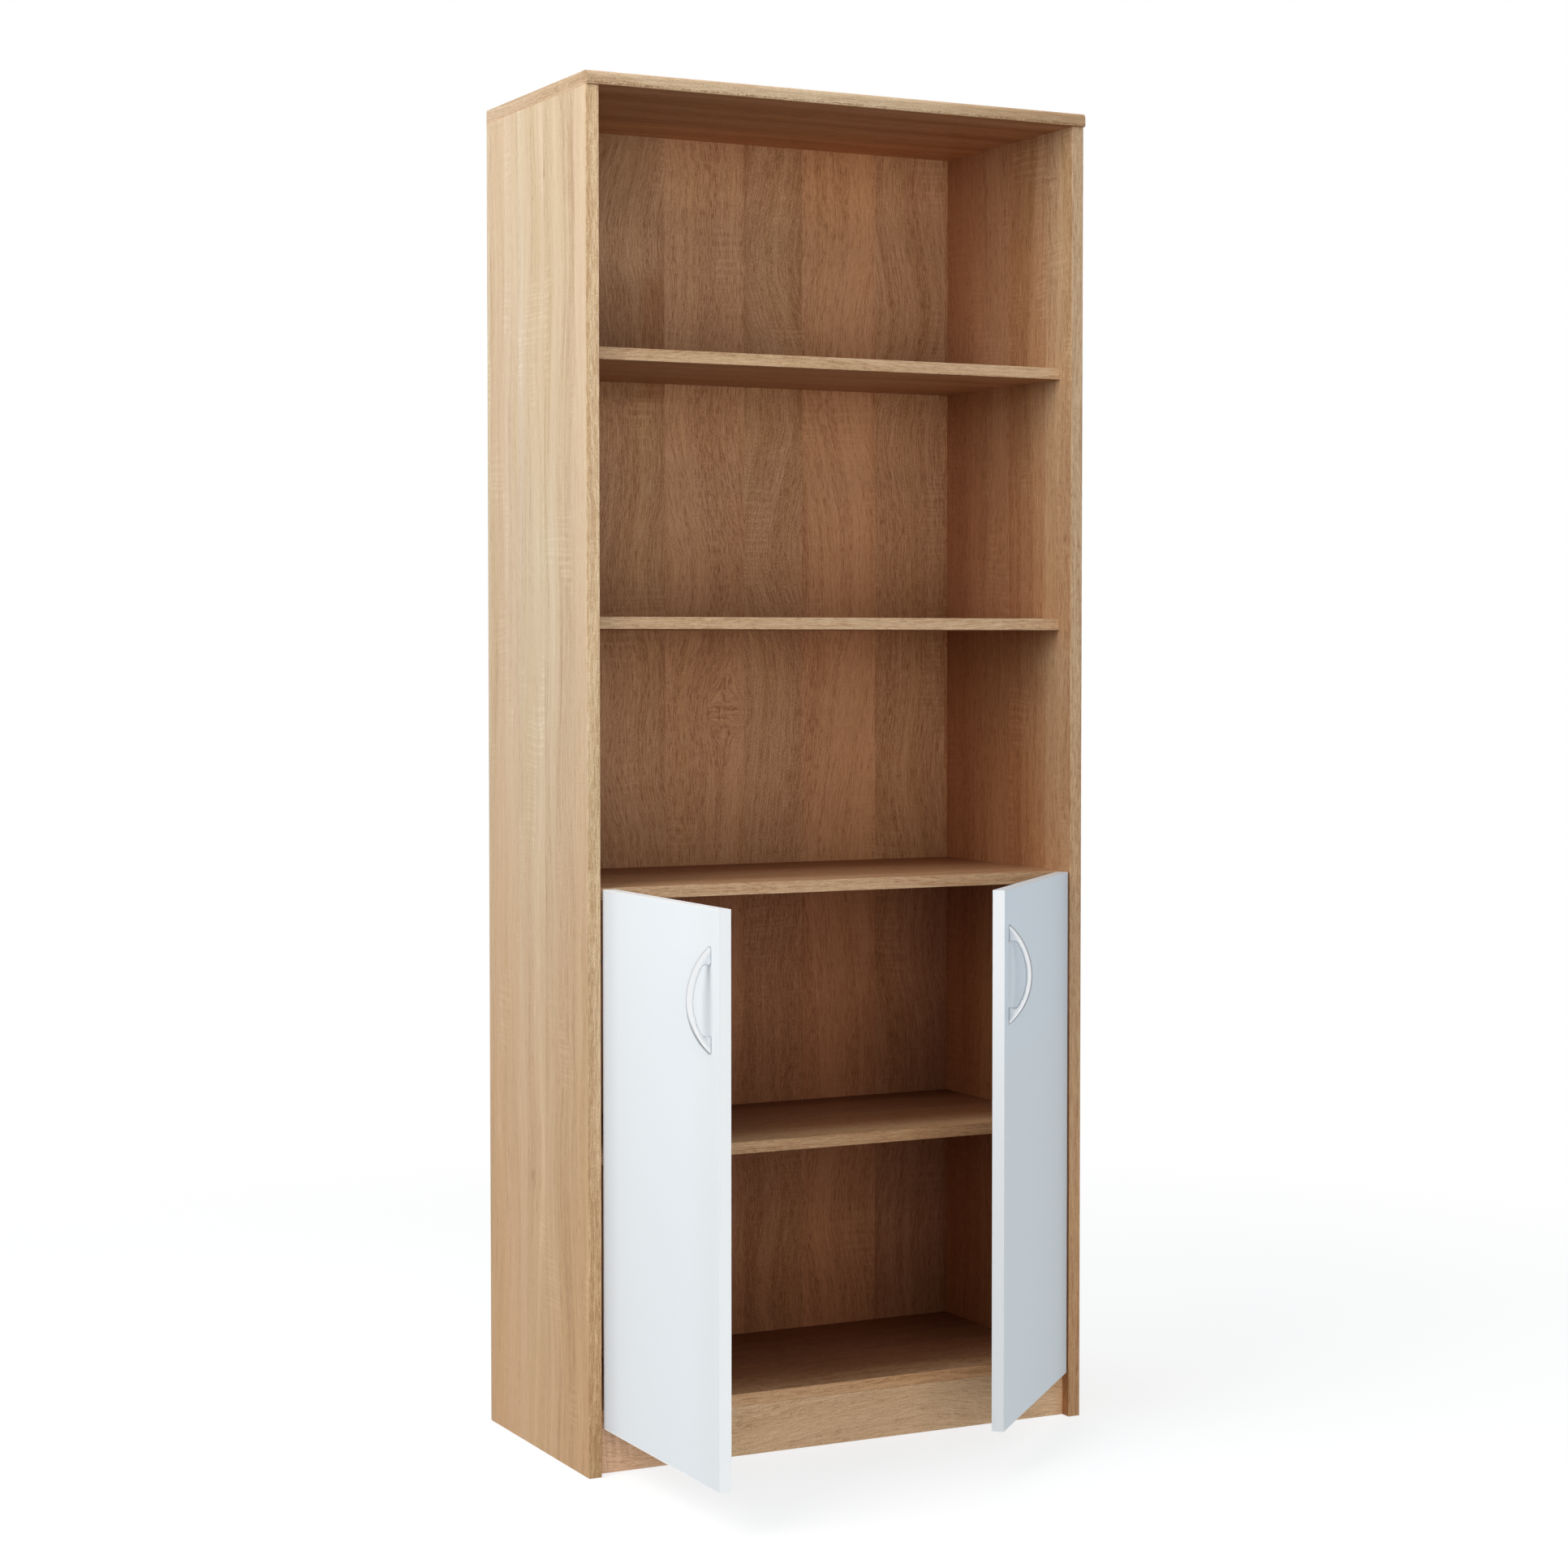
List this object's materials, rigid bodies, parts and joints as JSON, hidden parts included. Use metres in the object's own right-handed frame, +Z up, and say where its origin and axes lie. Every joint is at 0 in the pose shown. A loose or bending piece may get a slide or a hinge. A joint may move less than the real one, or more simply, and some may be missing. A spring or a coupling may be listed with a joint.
{
  "type": "bookcase with cabinet doors",
  "caption": "Tall oak-finish bookcase with open shelves above a cupboard with white hinged doors and bow handles.",
  "frame": {"origin": "on the floor, in the middle of the width, on the plane of the back panel that stands against the wall", "axes": "+X to the right seen from the front, +Y from the open front towards the wall, +Z up"},
  "size_m": [0.756, 0.7025, 1.82],
  "materials": {
    "oak_upright": "sonoma oak melamine, grain upright, satin",
    "oak_board": "sonoma oak melamine, grain along the width, satin",
    "oak_upright_band": "oak-printed plastic edge band",
    "oak_board_band": "oak-printed plastic edge band",
    "oak_back": "oak-printed hardboard, grain upright",
    "white_board": "white melamine on particle board, satin",
    "white_band": "white plastic edge band",
    "satin_metal": "satin nickel on zinc",
    "plated_steel": "nickel-plated steel",
    "zinc": "die-cast zinc",
    "beech": "plain beech",
    "cap_plastic": "oak-coloured plastic",
    "clear_pad": "translucent soft pad"
  },
  "bodies": {
    "cabinet": {"left_side": "oak_upright", "right_side": "oak_upright", "side_edge_bands": "oak_upright_band", "top_panel": "oak_board", "bottom_panel": "oak_board", "middle_shelf": "oak_board", "cabinet_shelf": "oak_board", "centre_shelf": "oak_board", "top_shelf": "oak_board", "fixed_board_edge_bands": "oak_board_band", "shelf_edge_bands": "oak_board_band", "plinth": "oak_board", "back_panel": "oak_back", "cam_nuts": "zinc", "cam_bolts": "plated_steel", "dowels": "beech", "top_screws": "plated_steel", "top_screw_caps": "cap_plastic", "shelf_pins": "plated_steel", "back_nails": "plated_steel", "left_hinge_plates": "plated_steel", "left_hinge_plate_screws": "plated_steel", "left_hinge_arms": "plated_steel", "left_hinge_arm_screws": "plated_steel", "left_hinge_rivets": "plated_steel", "right_hinge_plates": "plated_steel", "right_hinge_plate_screws": "plated_steel", "right_hinge_arms": "plated_steel", "right_hinge_arm_screws": "plated_steel", "right_hinge_rivets": "plated_steel"},
    "left_door": {"left_door": "white_board", "left_door_edge_bands": "white_band", "left_door_buffers": "clear_pad", "left_handle": "satin_metal", "left_handle_screws": "plated_steel", "left_hinge_cups": "plated_steel", "left_hinge_cup_screws": "plated_steel"},
    "right_door": {"right_door": "white_board", "right_door_edge_bands": "white_band", "right_door_buffers": "clear_pad", "right_handle": "satin_metal", "right_handle_screws": "plated_steel", "right_hinge_cups": "plated_steel", "right_hinge_cup_screws": "plated_steel"},
    "left_hinge_links": {"left_hinge_links": "plated_steel"},
    "right_hinge_links": {"right_hinge_links": "plated_steel"}
  },
  "joints": [
    {"name": "left_door_hinge", "type": "hinge", "parent": "cabinet", "child": "left_door", "pos_m": [-0.3515, -0.3525, 0.415], "axis": [0, 0, -1], "range_deg": [-90, 15]},
    {"name": "left_hinge_link_pivot", "type": "hinge", "parent": "cabinet", "child": "left_hinge_links", "pos_m": [-0.3512, -0.3307, 0.415], "axis": [0, 0, -1], "range_deg": [-51.3, 8.55]},
    {"name": "right_door_hinge", "type": "hinge", "parent": "cabinet", "child": "right_door", "pos_m": [0.3515, -0.3525, 0.415], "axis": [0, 0, 1], "range_deg": [-45, 60]},
    {"name": "right_hinge_link_pivot", "type": "hinge", "parent": "cabinet", "child": "right_hinge_links", "pos_m": [0.3512, -0.3307, 0.415], "axis": [0, 0, 1], "range_deg": [-25.65, 34.2]}
  ],
  "couplings": [
    {"joint": "left_hinge_link_pivot", "follows": "left_door_hinge", "ratio": 0.57},
    {"joint": "right_hinge_link_pivot", "follows": "right_door_hinge", "ratio": 0.57}
  ]
}
